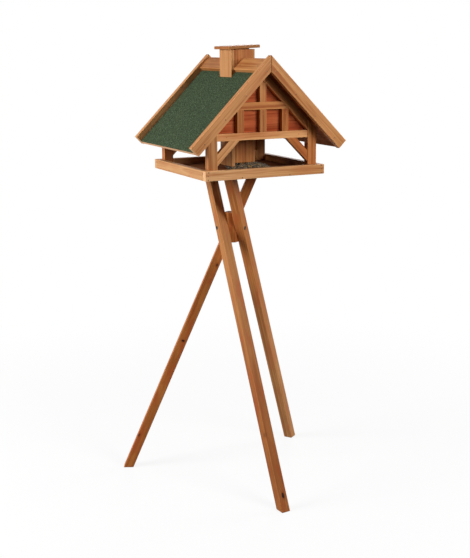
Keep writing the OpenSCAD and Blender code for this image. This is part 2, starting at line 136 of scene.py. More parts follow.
def new_piece(name):
    """Names the primitive that was just added and takes its place into its mesh."""
    piece = bpy.context.object
    piece.name = piece.data.name = name
    bpy.ops.object.transform_apply(location=True, rotation=True, scale=True)
    return piece


def modify(piece, kind, **settings):
    """Adds one modifier and applies it."""
    take(piece)
    modifier = piece.modifiers.new(kind.title(), kind)
    for key, value in settings.items():
        setattr(modifier, key, value)
    bpy.ops.object.modifier_apply(modifier=modifier.name)


def smooth(piece, degrees):
    """Shades a piece smooth but for its edges sharper than this angle."""
    take(piece)
    bpy.ops.object.shade_smooth_by_angle(angle=math.radians(degrees))


def aim(place, direction):
    """Matrix that takes what points up Z at the origin to this place and direction."""
    return Matrix.Translation(place) @ direction.to_track_quat("Z", "Y").to_matrix().to_4x4()


def copy_of(piece, matrix):
    """Copy with its own mesh, moved to a place."""
    twin = piece.copy()
    twin.data = piece.data.copy()
    twin.data.transform(matrix)
    scene.collection.objects.link(twin)
    return twin


def turned(name, profile, sides):
    """Piece of revolution about Z from its radii and heights, closed at both ends."""
    take()
    radius, height = profile[0]
    bpy.ops.mesh.primitive_circle_add(vertices=sides, radius=radius, fill_type="NGON",
                                      location=(0, 0, height))
    piece = new_piece(name)
    open_mesh(piece)
    for (before, low), (after, high) in zip(profile, profile[1:]):
        bpy.ops.mesh.extrude_region_move(TRANSFORM_OT_translate={"value": (0, 0, high - low)})
        bpy.ops.transform.resize(value=(after / before, after / before, 1.0), center_override=(0, 0, high))
    bpy.ops.mesh.select_all(action="SELECT")
    bpy.ops.mesh.normals_make_consistent(inside=False)
    close_mesh()
    return piece


def cut(piece, cutter):
    """Takes the cutter's shape out of a piece and removes the cutter."""
    modify(piece, "BOOLEAN", object=cutter, operation="DIFFERENCE", solver="EXACT")
    bpy.data.objects.remove(cutter)


def join(pieces, name):
    """One piece out of several."""
    take(pieces[0])
    for piece in pieces:
        piece.select_set(True)
    bpy.ops.object.join()
    pieces[0].name = pieces[0].data.name = name
    return pieces[0]


def set_in(piece, node, material=None):
    """Hides the node that a finished piece takes the place of, puts the piece in that node's body, and gives
    it this material, for pieces that have none of their own.
    """
    if material:
        piece.data.materials.clear()
        piece.data.materials.append(material)
    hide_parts(node)
    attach(piece, body_of[node])


# ---- Timber ---------------------------------------------------------------

def clean_copy(node, name):
    """Merged copy of a node's mesh with its flat faces joined."""
    piece = bpy.data.objects.new(name, frame["nodes"][node].data.copy())
    piece.data.name = name
    piece.data.materials.clear()
    scene.collection.objects.link(piece)
    take(piece)
    bpy.ops.mesh.customdata_custom_splitnormals_clear()
    open_mesh(piece)
    bpy.ops.mesh.remove_doubles(threshold=weld)
    join_flats(flat_angle)
    close_mesh()
    return piece


def blank(node):
    """The timber that a node is cut from: its outer shape without any nail holes."""
    piece = clean_copy(node, node + ".wood")
    open_mesh(piece)
    bpy.ops.mesh.convex_hull(delete_unused=True, use_existing_faces=False)
    join_flats(hull_angle)
    close_mesh()
    return piece


def board_turn(piece):
    """Turn from the object's axes to a board's own: X along it, Y across it, Z through it."""
    points = [v.co for v in piece.data.vertices]
    edges = [points[a] - points[b] for a, b in (edge.vertices for edge in piece.data.edges)]
    along = max(edges, key=lambda e: e.length).normalized()
    crossing = [e for e in edges if abs(e.normalized().dot(along)) < square]
    across = max(crossing, key=lambda e: e.length).normalized()
    return Matrix((along, across, along.cross(across)))


def middle(piece):
    """Middle of a piece's box."""
    corners = [Vector(corner) for corner in piece.bound_box]
    return sum(corners, Vector()) / len(corners)


def round_edges(piece, width):
    """Rounds every edge and marks the rounded faces, so that the finish can be paler there, as wear and as a
    painted highlight along the edges.
    """
    flats = [face.normal.copy() for face in piece.data.polygons]
    take(piece)
    bpy.ops.object.shade_smooth()
    modify(piece, "BEVEL", width=width, segments=3, limit_method="ANGLE",
           angle_limit=math.radians(25), harden_normals=True)
    worn_and_highlit = piece.data.attributes.new("worn_and_highlit", "FLOAT", "FACE")
    for face in piece.data.polygons:
        worn_and_highlit.data[face.index].value = float(all(face.normal.dot(flat) < same_way for flat in flats))


def timber(node, glaze, width=arris):
    """A node's timber with rounded edges and its own grain."""
    piece = blank(node)
    material = glaze(node, board_turn(piece), middle(piece))
    round_edges(piece, width)
    set_in(piece, node, material)
    return piece


# ---- Fasteners ------------------------------------------------------------

def spots(node):
    """For each fastener of a node: its head's middle, the way it faces, its head's radius and its length."""
    copy = clean_copy(node, "fasteners")
    open_mesh(copy)
    bpy.ops.mesh.separate(type="LOOSE")
    close_mesh()
    found = []
    for solid in list(bpy.context.selected_objects):
        points = numpy.array([v.co for v in solid.data.vertices])
        centre = points.mean(0)
        axis = numpy.linalg.svd(points - centre)[2][0]
        reach = (points - centre) @ axis
        away = numpy.linalg.norm(points - centre - numpy.outer(reach, axis), axis=1)
        widths = [away[abs(reach - end) < 0.05 * MM].max() for end in (reach.min(), reach.max())]
        if widths[0] > widths[1]:
            axis, reach = -axis, -reach
        place = Vector(centre + axis * reach.max())
        found.append((place, Vector(axis), max(widths), reach.max() - reach.min()))
        bpy.data.objects.remove(solid)
    return sorted(found, key=lambda spot: tuple(round(c, 6) for c in spot[0]))


def drive(kind, node, material):
    """All the fasteners of a node as one piece: each size is modelled once and copied to its places."""
    models, pieces = {}, []
    for place, facing, head, length in spots(node):
        size = (round(head / MM, 2), round(length / MM, 1))
        if size not in models:
            models[size] = kind(head, length)
        pieces.append(copy_of(models[size], aim(place, facing)))
    piece = join(pieces, node + ".metal")
    for model in models.values():
        bpy.data.objects.remove(model)
    set_in(piece, node, material)


def nail(head, length):
    """Round nail with a slightly domed head, its point down -Z."""
    rim, shank, point = head * 0.97, head * 0.48, 3.0 * MM
    piece = turned("nail", [
        (head * 0.35, nail_rise), (head * 0.75, nail_rise * 0.8), (rim, nail_rise * 0.3), (rim, -0.9 * MM),
        (shank, -1.15 * MM), (shank, point - length), (shank * 0.2, -length)], 12)
    smooth(piece, 50)
    return piece


def socket_screw(head, length):
    """Leg screw: bevelled round head with a hexagon socket, and a plain shank."""
    deep, shank, socket, point = 0.6 * head, head * 0.5, head * 0.36, 4.0 * MM
    piece = turned("socket screw", [
        (head * 0.9, 0.0), (head, -0.5 * MM), (head, 0.3 * MM - deep), (head * 0.95, -deep),
        (shank, -deep - 0.05 * MM), (shank, point - length), (shank * 0.2, -length)], 32)
    cut(piece, turned("socket", [(socket, 1.0 * MM), (socket, -0.62 * deep), (turned_tip, -0.8 * deep)], 6))
    smooth(piece, 35)
    return piece


def cross_screw(head, length):
    """Countersunk screw with a cross recess."""
    shank, point, recess = head * 0.5, 6.0 * MM, 2.4 * MM
    piece = turned("cross screw", [
        (head * 0.98, 0.0), (head, -0.3 * MM), (shank, -head * 0.52), (shank, point - length),
        (shank * 0.15, -length)], 32)
    for turn in (0.0, math.pi / 2):
        take()
        bpy.ops.mesh.primitive_cube_add(size=1.0, scale=(head * 1.15, head * 0.2, recess))
        wing = new_piece("wing")
        open_mesh(wing)
        pick_faces(wing, lambda face: face.normal.z < -0.9)
        bpy.ops.transform.resize(value=(0.45, 0.7, 1.0))
        close_mesh()
        wing.data.transform(Matrix.Rotation(turn, 4, "Z"))
        cut(piece, wing)
    smooth(piece, 35)
    return piece


def counterbore(node, legs):
    """Sinks a hole for each screw head of a node into the leg that the screw goes through."""
    for place, facing, head, _ in spots(node):
        leg = min(legs, key=lambda leg: (leg.closest_point_on_mesh(place)[1] - place).length)
        bore = head * 1.08
        cutter = turned("bore", [(bore, 6.0 * MM), (bore, -0.65 * head), (turned_tip, -0.7 * head)], 32)
        cutter.data.transform(aim(place, facing))
        cut(leg, cutter)


# ---- Node graphs ----------------------------------------------------------

class Graph:
    """Adds nodes to one tree and joins them: a socket as a value is linked, anything else is set."""

    def __init__(self, tree):
        self.tree = tree

    def set(self, socket, value):
        """Links another socket to this one, or sets its constant value."""
        if isinstance(value, bpy.types.NodeSocket):
            self.tree.links.new(value, socket)
        else:
            socket.default_value = value

    def add(self, kind, values=None, **settings):
        """One node with its settings and the values of its inputs."""
        node = self.tree.nodes.new(kind)
        for key, value in settings.items():
            setattr(node, key, value)
        for key, value in (values or {}).items():
            self.set(node.inputs[key], value)
        return node

    def math(self, operation, first, second=0.0, third=0.0):
        """Result of a sum with up to three numbers."""
        return self.add("ShaderNodeMath", {0: first, 1: second, 2: third}, operation=operation).outputs[0]

    def vector(self, operation, first, second=(0, 0, 0)):
        """Result of a sum with up to two vectors: a vector, or a number for a length or a dot product."""
        node = self.add("ShaderNodeVectorMath", {0: first, 1: second}, operation=operation)
        return node.outputs["Value" if operation in ("LENGTH", "DOT_PRODUCT") else "Vector"]

    def parts(self, vector):
        """X, Y and Z of a vector."""
        return self.add("ShaderNodeSeparateXYZ", {0: vector}).outputs

    def ramp(self, value, low, high, to_low=0.0, to_high=1.0):
        """Smooth step of a value between low and high."""
        return self.add("ShaderNodeMapRange", {0: value, 1: low, 2: high, 3: to_low, 4: to_high},
                        interpolation_type="SMOOTHSTEP").outputs[0]

    def noise(self, place, per_metre, detail=3.0, roughness=0.5, coloured=False):
        """Cloudy noise with so many clouds in a metre of X, Y and Z: a level, or a colour of three levels."""
        stretched = self.vector("MULTIPLY", place, per_metre)
        node = self.add("ShaderNodeTexNoise", {"Vector": stretched, "Scale": 1.0, "Detail": detail,
                                               "Roughness": roughness})
        return node.outputs[1 if coloured else 0]

    def grains(self, place, per_metre):
        """Cells like packed grains: the distance from a cell's middle, and its three random levels."""
        cells = self.add("ShaderNodeTexVoronoi", {"Vector": place, "Scale": per_metre}).outputs
        return cells["Distance"], self.add("ShaderNodeSeparateColor", {0: cells["Color"]}).outputs

    def mix(self, share, first, second):
        """Colour between the first, where the share is 0, and the second, where it is 1."""
        node = self.add("ShaderNodeMix", {0: share, 6: first, 7: second}, data_type="RGBA", blend_type="MIX")
        return node.outputs[2]


class Finish(Graph):
    """A material with one Principled shader, whose constant sockets are set by name."""

    def __init__(self, name, **settings):
        self.material = bpy.data.materials.new(name)
        self.material.use_nodes = True
        super().__init__(self.material.node_tree)
        self.shader = self.tree.nodes["Principled BSDF"]
        for label, value in settings.items():
            self.give(label.replace("_", " "), value)
        self.coordinates = self.add("ShaderNodeTexCoord").outputs
        self.place = self.coordinates["Object"]

    def give(self, label, value):
        """Sets or links one of the shader's sockets."""
        self.set(self.shader.inputs[label], value)

    def relief(self, height, strength, distance):
        """Bumps of the surface: their height from 0 to 1, how strong they look and how high they are."""
        bump = self.add("ShaderNodeBump", {"Height": height, "Strength": strength, "Distance": distance})
        self.give("Normal", bump.outputs[0])

    def in_axes(self, coordinate, turn, shift=(0.0, 0.0, 0.0)):
        """Object place or normal in the axes of one board."""
        return self.add("ShaderNodeMapping", {"Vector": self.coordinates[coordinate], "Location": shift,
                                              "Rotation": turn.to_euler()}, vector_type="POINT").outputs[0]


def new_group(name, inputs, outputs):
    """Shader node group with named inputs and outputs: the graph, its input sockets and its output node."""
    tree = bpy.data.node_groups.new(name, "ShaderNodeTree")
    kinds = {float: "NodeSocketFloat", tuple: "NodeSocketVector"}
    for label, value in inputs.items():
        socket = tree.interface.new_socket(label, in_out="INPUT", socket_type=kinds[type(value)])
        socket.default_value = value
    for label in outputs:
        tree.interface.new_socket(label, in_out="OUTPUT", socket_type="NodeSocketFloat")
    graph = Graph(tree)
    given = graph.add("NodeGroupInput").outputs
    return graph, given, graph.add("NodeGroupOutput")


# ---- Glazed timber --------------------------------------------------------

def timber_knot():
    """One knot at a place in the timber: its dark core, its rim and the swirl of grain round it."""
    origin = (0.0, 0.0, 0.0)
    graph, given, result = new_group("timber knot", {"Vector": origin, "Centre": origin,
                                                     "Size": (0.005, 0.004, 0.004)}, ["Core", "Rim", "Swirl"])
    away = graph.vector("DIVIDE", graph.vector("SUBTRACT", given["Vector"], given["Centre"]), given["Size"])
    wobble = graph.noise(given["Vector"], (400.0, 400.0, 400.0), detail=2.0)
    away = graph.math("ADD", graph.vector("LENGTH", away), graph.math("MULTIPLY_ADD", wobble, 0.5, -0.25))
    graph.set(result.inputs["Core"], graph.ramp(away, 1.1, 0.6))
    graph.set(result.inputs["Rim"], graph.ramp(away, 2.1, 0.9))
    graph.set(result.inputs["Swirl"], graph.ramp(away, 4.0, 0.5))
    return graph.tree


def timber_grain():
    """Solid timber, with X along the grain: growth rings round a pith, fibres, streaks, clouds and warmth."""
    origin = (0.0, 0.0, 0.0)
    graph, given, result = new_group(
        "timber grain",
        {"Vector": origin, "Pith": origin, "Ring Width": 3.0 * MM, "Wander": 4.0 * MM, "Swirl": 0.0},
        ["Rings", "Fibre", "Streaks", "Clouds", "Warmth"])
    place = given["Vector"]
    drift = graph.noise(place, (3.0, 14.0, 14.0), detail=2.0, coloured=True)
    drift = graph.vector("SUBTRACT", drift, (0.5, 0.5, 0.5))
    drift = graph.add("ShaderNodeVectorMath", {0: drift, "Scale": given["Wander"]}, operation="SCALE")
    ring_place = graph.vector("ADD", graph.vector("ADD", place, given["Pith"]), drift.outputs[0])
    across = graph.vector("MULTIPLY", ring_place, (0.0, 1.0, 1.0))
    radius = graph.math("ADD", graph.vector("LENGTH", across),
                        graph.math("MULTIPLY", given["Swirl"], 5.0 * MM))
    years = graph.add("ShaderNodeTexNoise", {"W": graph.math("MULTIPLY", radius, 90.0), "Scale": 1.0},
                      noise_dimensions="1D").outputs[0]
    ring = graph.math("ADD", graph.math("DIVIDE", radius, given["Ring Width"]),
                      graph.math("MULTIPLY", years, 2.5))
    ring = graph.math("FRACT", ring)
    rings = graph.math("MULTIPLY", graph.ramp(ring, 0.1, 0.9), graph.ramp(ring, 1.0, 0.9))
    graph.set(result.inputs["Rings"], rings)
    fibre = graph.noise(ring_place, (22.0, 800.0, 800.0), roughness=0.6)
    graph.set(result.inputs["Fibre"], fibre)
    graph.set(result.inputs["Streaks"], graph.noise(ring_place, (4.0, 120.0, 120.0), roughness=0.6))
    graph.set(result.inputs["Clouds"], graph.noise(place, (9.0, 22.0, 22.0)))
    graph.set(result.inputs["Warmth"], graph.noise(place, (14.0, 45.0, 45.0), detail=2.0))
    return graph.tree


grain_group = timber_grain()
knot_group = timber_knot()


def toned(shade, tone):
    """A colour made lighter or darker, and paler or deeper, by a pair of numbers."""
    strength, depth = tone
    return tuple(min(1.0, strength * c ** depth) for c in shade[:3]) + (1.0,)


def tone_of(node):
    """Tone of a single board, or else of its kind, including the painted shade and painted light that the
    tones hold.
    """
    names = (node, node.rsplit("_", 1)[0], node.rsplit("_", 2)[0])
    return next((tones_with_painted_light[name] for name in names if name in tones_with_painted_light), (1.0, 1.0))


class Glaze:
    """A stain on a kind of timber. Called for one board, it gives that board's material."""

    streak_shares = (0.82, 0.68, 0.60, 1.0)     # shares of the dark colour that are left in a streak
    worn_and_highlit_tone = (1.35, 1.0)                     # tone of the light colour on worn edges, which also paints their highlight

    def __init__(self, name, light, dark, warm, knot, end, ring_width=2.6 * MM, wander=4.0 * MM, streaks=0.9,
                 warmth=0.5, wear=0.8, ply=0.0):
        self.name, self.light, self.dark, self.warm, self.knot, self.end = name, light, dark, warm, knot, end
        self.ring_width, self.wander, self.streaks, self.warmth = ring_width, wander, streaks, warmth
        self.wear, self.ply = wear, ply

    def __call__(self, node, turn, centre):
        """Material of a board, given the turn to its own axes and its middle."""
        chance = random.Random(node)
        shift = Vector((chance.uniform(-3, 3), 0, 0))
        pith = (0.0, chance.uniform(-0.02, 0.02), chance.choice((-1, 1)) * chance.uniform(0.02, 0.05))
        tone = tone_of(node)
        shades = (self.light, self.dark, self.warm, self.end)
        light, dark, warm, end = (toned(shade, tone) for shade in shades)
        finish = Finish(f"{self.name} {node}", Specular_IOR_Level=0.0 if self.ply else 0.1)
        place = finish.in_axes("Object", turn, shift - turn @ centre)
        facing = finish.parts(finish.in_axes("Normal", turn))
        end_grain = finish.ramp(finish.math("ABSOLUTE", facing[0]), 0.75, 0.95)

        knots = [(finish.add("ShaderNodeGroup", {
            "Vector": place, "Centre": turn @ (Vector(spot) - centre) + shift, "Size": size},
            node_tree=knot_group).outputs, strength) for spot, size, strength in knots_of.get(node, ())]
        swirl = 0.0
        for knot, _ in knots:
            swirl = finish.math("ADD", knot["Swirl"], swirl)
        grain = finish.add("ShaderNodeGroup", {
            "Vector": place, "Pith": pith, "Ring Width": self.ring_width, "Wander": self.wander,
            "Swirl": swirl}, node_tree=grain_group).outputs

        base = self.grained(finish, grain, knots, light, dark, warm)
        if self.ply:
            base = self.veneered(finish, base, place, facing, end, dark)
        else:
            base = finish.mix(finish.math("MULTIPLY", end_grain, 0.6), base, end)
        if node in dark_joints_and_painted_shade:
            base = self.darkened_at_joints_and_shade(finish, base, *dark_joints_and_painted_shade[node])
        # Paler rounded edges: wear, and a painted highlight
        finish.give("Base Color", self.worn_and_highlit(finish, base, grain, light))
        self.surface(finish, grain, end_grain)
        return finish.material

    def grained(self, finish, grain, knots, light, dark, warm):
        """The colour of the grain with its knots."""
        base = finish.mix(finish.math("MULTIPLY", grain["Rings"], 0.5), light, dark)
        streak = finish.math("MULTIPLY", finish.ramp(grain["Streaks"], 0.44, 0.7), self.streaks)
        base = finish.mix(streak, base, tuple(c * share for c, share in zip(dark, self.streak_shares)))
        base = finish.mix(finish.ramp(grain["Fibre"], 0.4, 0.8, 0.0, 0.3), base, dark)
        base = finish.mix(finish.ramp(grain["Clouds"], 0.4, 0.75, 0.0, 0.35), base, dark)
        base = finish.mix(finish.ramp(grain["Warmth"], 0.45, 0.75, 0.0, self.warmth), base, warm)
        for knot, strength in knots:
            base = finish.mix(finish.math("MULTIPLY", knot["Rim"], 0.55), base, dark)
            base = finish.mix(finish.math("MULTIPLY", knot["Core"], strength), base, self.knot)
        return base

    def veneered(self, finish, base, place, facing, end, dark):
        """The sawn edge of plywood, with veneers that lie by turns along it and across it."""
        layer = finish.math("FRACT", finish.math("DIVIDE", finish.parts(place)[2], 2.0 * self.ply))
        layer = finish.math("MULTIPLY", finish.ramp(layer, 0.45, 0.55), finish.ramp(layer, 1.0, 0.9))
        edge = finish.ramp(finish.math("ABSOLUTE", facing[2]), 0.7, 0.3)
        cut_edge = finish.mix(finish.math("MULTIPLY", layer, 0.7), end, dark)
        return finish.mix(finish.math("MULTIPLY", edge, 0.85), base, cut_edge)

    def darkened_at_joints_and_shade(self, finish, base, direction, start, full, tone):
        """The base colour, darker and deeper between two levels along a direction: for dark joint lines and
        for painted shade.
        """
        strength, depth = tone
        deep = finish.add("ShaderNodeGamma", {0: base, 1: depth}).outputs[0]
        deep = finish.vector("MULTIPLY", deep, (strength, strength, strength))
        level = finish.vector("DOT_PRODUCT", finish.place, direction)
        return finish.mix(finish.ramp(level, start, full), base, deep)

    def worn_and_highlit(self, finish, base, grain, light):
        """The base colour, paler in patches along the rounded edges: rubbed by wear, and a painted highlight
        on them.
        """
        edges = finish.add("ShaderNodeAttribute", attribute_name="worn_and_highlit").outputs["Fac"]
        patches = finish.ramp(grain["Clouds"], 0.35, 0.6, 0.4 * self.wear, self.wear)
        return finish.mix(finish.math("MULTIPLY", edges, patches), base, toned(light, self.worn_and_highlit_tone))

    def surface(self, finish, grain, end_grain):
        """Roughness and relief of the fibres, rougher on the end grain."""
        rough = finish.math("MULTIPLY_ADD", grain["Fibre"], 0.2, 0.4)
        finish.give("Roughness", finish.math("ADD", rough, finish.math("MULTIPLY", end_grain, 0.25)))
        height = finish.math("ADD", finish.math("MULTIPLY", grain["Fibre"], 0.5),
                             finish.math("MULTIPLY", grain["Rings"], 0.3))
        finish.relief(height, 0.35, 0.4 * MM)


pine = Glaze("glazed pine", light=colour(212, 148, 88), dark=colour(168, 98, 48),
             warm=colour(196, 118, 68), knot=colour(62, 30, 16), end=colour(206, 156, 110), wear=0.35)
leg_pine = Glaze("glazed leg", light=colour(206, 140, 80), dark=colour(156, 88, 42),
                 warm=colour(186, 104, 58), knot=colour(48, 18, 8), end=colour(150, 98, 60),
                 streaks=0.55, warmth=0.9, wear=0.25)
panel_pine = Glaze("glazed panel", light=colour(140, 92, 62), dark=colour(100, 60, 38),
                   warm=colour(126, 74, 50), knot=colour(56, 28, 16), end=colour(176, 134, 98),
                   ring_width=9.0 * MM, ply=1.8 * MM)
red_ply = Glaze("red stained panel", light=colour(178, 92, 54), dark=colour(132, 56, 30),
                warm=colour(166, 74, 44), knot=colour(60, 24, 14), end=colour(120, 60, 36),
                ring_width=12.0 * MM, wander=16.0 * MM, ply=1.6 * MM)

# How strong and how deep the glaze is, for each kind of board and for single boards that differ: partly the
# boards' own tone, partly painted shade and painted light for how brightly each board is lit
tones_with_painted_light = {
    "tray_floor": (1.15, 1.00),
    "tray_board": (0.85, 0.85),
    "tray_board_front": (1.00, 0.70),
    "tray_board_left": (0.75, 0.75),
    # Painted shade: the tray's right board darkened for the roof's shade over it
    "tray_board_right": (0.60, 1.10),
    "post": (0.85, 1.05),
    # Painted shade: the front left post darkened for the shade under the roof's overhang
    "post_front_left": (0.70, 0.95),
    "post_front_right": (0.90, 1.15),
    "post_back_left": (0.90, 1.20),
    "post_back_right": (0.70, 1.05),
    "tie_beam": (1.10, 0.80),
    "collar_beam": (0.95, 1.05),
    "stud": (0.80, 1.10),
    "stud_front_top": (0.85, 1.00),
    "stud_front_middle": (0.80, 1.05),
    "stud_front_left": (0.75, 1.15),
    "stud_front_right": (0.80, 1.25),
    "trim": (0.80, 1.00),
    # Painted light: the right front trim lightened where light falls on its lower edge
    "trim_front_right": (1.30, 1.00),
    "brace": (0.90, 1.05),
    "brace_front_left": (0.95, 0.80),
    "brace_front_right": (0.90, 1.25),
    "gable_panel": (1.10, 0.95),
    "bargeboard": (0.90, 0.85),
    "bargeboard_front_right": (0.90, 0.90),
    "ridge_board": (0.70, 1.00),
    "ridge_board_front_left": (0.80, 0.95),
    "ridge_board_back_left": (0.65, 1.10),
    # Painted light: the roof panels lightened for the light that reaches their undersides
    "roof_panel": (1.70, 0.80),
    "hopper_board": (0.80, 1.00),
    "hopper_board_left": (0.75, 0.85),
    "hopper_board_front": (0.80, 1.10),
    "lid_board": (0.65, 1.20),
    "leg_front": (0.80, 0.95),
    "leg_back_right": (0.95, 0.85),
    "leg_back_left": (0.85, 1.20),
    "leg_block": (0.85, 1.20),
}


def joints_and_painted_shade():
    """Boards darkened along a direction, for dark joint lines and for painted shade: the direction, where
    that starts and is full, and the tone there.
    """
    along_x, along_z = Vector((1, 0, 0)), Vector((0, 0, 1))
    found = {
        # Painted shade: the front leg darker towards its foot, the back right leg darker towards the tray
        # above it, and the tray's front board darker towards its right end
        "leg_front": (along_z, 0.75, 0.15, (1.00, 1.26)),
        "leg_back_right": (along_z, 0.25, 0.75, (0.90, 1.27)),
        "tray_board_front": (along_x, -0.17, 0.19, (0.85, 1.30)),
    }
    # Both slopes: a dark joint line at the bargeboards' mitres, painted shade in the corner of trims and
    # roof, and painted shade on the roof panels away from their eaves
    for side, way, inner in (("left", -1.0, 1), ("right", 1.0, 0)):
        out, up = Vector((way, 0, 0)), Vector((way, 0, 1)).normalized()
        for end in ("front", "back"):
            board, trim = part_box(f"bargeboard_{end}_{side}"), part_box(f"trim_{end}_{side}")
            mitre = way * board[inner][0]
            corner = up.dot(Vector((trim[inner][0], 0, trim[1][2])))
            found[f"bargeboard_{end}_{side}"] = (out, mitre + 1.8 * MM, mitre + 0.9 * MM, (0.30, 1.20))
            found[f"trim_{end}_{side}"] = (up, corner - 17.0 * MM, corner - 5.0 * MM, (0.50, 1.15))
        found[f"roof_panel_{side}"] = (out, mitre + 190.0 * MM, mitre + 150.0 * MM, (0.56, 1.60))
    return found


dark_joints_and_painted_shade = joints_and_painted_shade()

# Knots: middle, half size along, across and into the board, and how dark the core is
knots_of = {
    "leg_front": [((-0.0071, -0.2714, 0.0467), (0.0100, 0.0048, 0.006), 1.0),
                  ((-0.0294, -0.1970, 0.2193), (0.0060, 0.0045, 0.006), 0.3)],
    "leg_back_left": [((-0.1403, 0.1658, 0.4388), (0.0042, 0.0038, 0.006), 1.0),
                      ((-0.0376, 0.1179, 0.6901), (0.0060, 0.0022, 0.004), 0.7),
                      ((-0.2787, 0.2303, 0.1150), (0.0060, 0.0022, 0.004), 0.6)],
}


# ---- Metal ----------------------------------------------------------------

def fastener_finish(name, bright, stained, metallic=1.0, specular=0.5):
    """Spotted by the weather: bright where it is clean, and stained elsewhere."""
    finish = Finish(name, Metallic=metallic, Specular_IOR_Level=specular)
    stains = finish.noise(finish.place, (900.0, 900.0, 900.0))
    finish.give("Base Color", finish.mix(finish.ramp(stains, 0.4, 0.65), bright, stained))
    finish.give("Roughness", finish.ramp(stains, 0.3, 0.7, 0.35, 0.6))
    return finish.material


zinc = fastener_finish("zinc plated steel", colour(176, 174, 168), colour(112, 100, 88))
browned_steel = fastener_finish("browned steel", colour(84, 74, 66), colour(44, 34, 28))
nail_steel = fastener_finish("weathered nail", colour(124, 92, 66), colour(78, 54, 38))
pin_glaze = fastener_finish("glazed pin", colour(190, 120, 66), colour(150, 84, 42),
                            metallic=0.0, specular=0.1)


# ---- Roof felt ------------------------------------------------------------

def felt_finish():
    """Mineral felt: fine granules of several greens on dark bitumen, rubbed bare here and there."""
    finish = Finish("green mineral felt", Roughness=0.95, Specular_IOR_Level=0.1)
    away, draw = finish.grains(finish.place, 850.0)
    base = finish.mix(finish.ramp(draw[0], 0.0, 1.0), colour(52, 65, 42), colour(78, 94, 66))
    base = finish.mix(finish.ramp(draw[1], 0.86, 0.95), base, colour(117, 131, 104))
    base = finish.mix(finish.ramp(draw[2], 0.84, 0.93), base, colour(34, 40, 30))
    streaks = finish.noise(finish.place, (10.0, 90.0, 10.0))
    base = finish.mix(finish.ramp(streaks, 0.4, 0.7, 0.0, 0.3), base, colour(51, 68, 52))
    clouds = finish.noise(finish.place, (16.0, 16.0, 16.0))
    base = finish.mix(finish.ramp(clouds, 0.45, 0.75, 0.0, 0.35), base, colour(82, 90, 65))
    mottle = finish.noise(finish.place, (220.0, 220.0, 220.0), roughness=0.7)
    base = finish.mix(finish.ramp(mottle, 0.53, 0.68, 0.0, 0.75), base, colour(100, 129, 97))
    base = finish.mix(finish.ramp(mottle, 0.47, 0.34, 0.0, 0.85), base, colour(30, 46, 30))
    gap = finish.math("MULTIPLY", finish.ramp(away, 0.3, 0.6), 0.45)
    finish.give("Base Color", finish.mix(gap, base, colour(26, 30, 24)))
    finish.relief(finish.ramp(away, 0.6, 0.0), 0.6, 0.5 * MM)
    return finish.material


felt_green = felt_finish()


def roof_felt(side):
    """Sheet of felt on one slope, with slight ripples and a soft edge."""
    node = f"roof_felt_{side}"
    piece = clean_copy(node, node + ".sheet")
    low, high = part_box(node)
    way = -1.0 if side == "left" else 1.0
    along, down = Vector((0.0, 1.0, 0.0)), Vector((way, 0.0, -1.0)).normalized()
    up = Vector((way, 0.0, 1.0)).normalized()
    reach = [down.dot(v.co) for v in piece.data.vertices]
    levels = [(along, y) for y in numpy.arange(low[1] + felt_grid, high[1], felt_grid)]
    levels += [(down, d) for d in numpy.arange(min(reach) + felt_grid, max(reach), felt_grid)]
    open_mesh(piece)
    for normal, level in levels:
        bpy.ops.mesh.select_all(action="SELECT")
        bpy.ops.mesh.bisect(plane_co=normal * float(level), plane_no=normal)
    close_mesh()
    top = max(up.dot(v.co) for v in piece.data.vertices)
    for vertex in piece.data.vertices:
        if up.dot(vertex.co) > top - 0.2 * MM:
            wave = noise.noise(vertex.co * 22.0) + 0.5 * noise.noise(vertex.co * 60.0)
            vertex.co += up * (felt_ripple * (wave + 0.6))
    modify(piece, "BEVEL", width=felt_arris, segments=2, limit_method="ANGLE", angle_limit=math.radians(50))
    smooth(piece, 40)
    set_in(piece, node, felt_green)


def glaze_roof_panel(side):
    """Gives a roof panel, which keeps its own mesh, the panels' glaze."""
    node = f"roof_panel_{side}"
    copy = clean_copy(node, "scratch")
    material = panel_pine(node, board_turn(copy), middle(copy))
    bpy.data.objects.remove(copy)
    materials = frame["nodes"][node].data.materials
    materials.clear()
    materials.append(material)


# ---- Bird seed ------------------------------------------------------------

# Name, how many, length, width and thickness in mm, width left at the tip, light, dark, stripes round it
seed_kinds = [
    ("sunflower", 620, (10.5, 5.2, 3.4), 0.35, colour(74, 66, 56), colour(26, 22, 18), 4.0),
    ("oat", 220, (8.0, 2.8, 2.4), 0.45, colour(196, 178, 144), colour(150, 128, 92), 0.0),
    ("wheat", 160, (6.0, 3.0, 2.8), 0.8, colour(172, 130, 82), colour(130, 92, 54), 0.0),
    ("millet", 250, (2.4, 2.2, 2.1), 1.0, colour(190, 164, 112), colour(152, 122, 74), 0.0),
    ("cracked_maize", 80, (6.0, 4.6, 3.2), 0.6, colour(186, 138, 66), colour(156, 108, 46), 0.0),
]


def seed_finish(name, light, dark, stripes):
    """Husk or grain: each seed has its own tone, and a sunflower seed its stripes along it."""
    finish = Finish(name, Roughness=0.55, Specular_IOR_Level=0.12)
    tone = finish.add("ShaderNodeAttribute", attribute_name="tone").outputs["Fac"]
    base = finish.mix(tone, light, dark)
    if stripes:
        around = finish.parts(finish.add("ShaderNodeUVMap").outputs[0])[0]
        band = finish.math("FRACT", finish.math("ADD", finish.math("MULTIPLY", around, stripes), tone))
        band = finish.ramp(finish.math("ABSOLUTE", finish.math("SUBTRACT", band, 0.5)), 0.36, 0.43)
        base = finish.mix(band, base, colour(170, 162, 146))
    dust = finish.noise(finish.place, (700.0, 700.0, 700.0))
    base = finish.mix(finish.ramp(dust, 0.45, 0.75, 0.0, 0.25), base, colour(130, 118, 98))
    finish.give("Base Color", base)
    finish.relief(dust, 0.2, 0.2 * MM)
    return finish.material


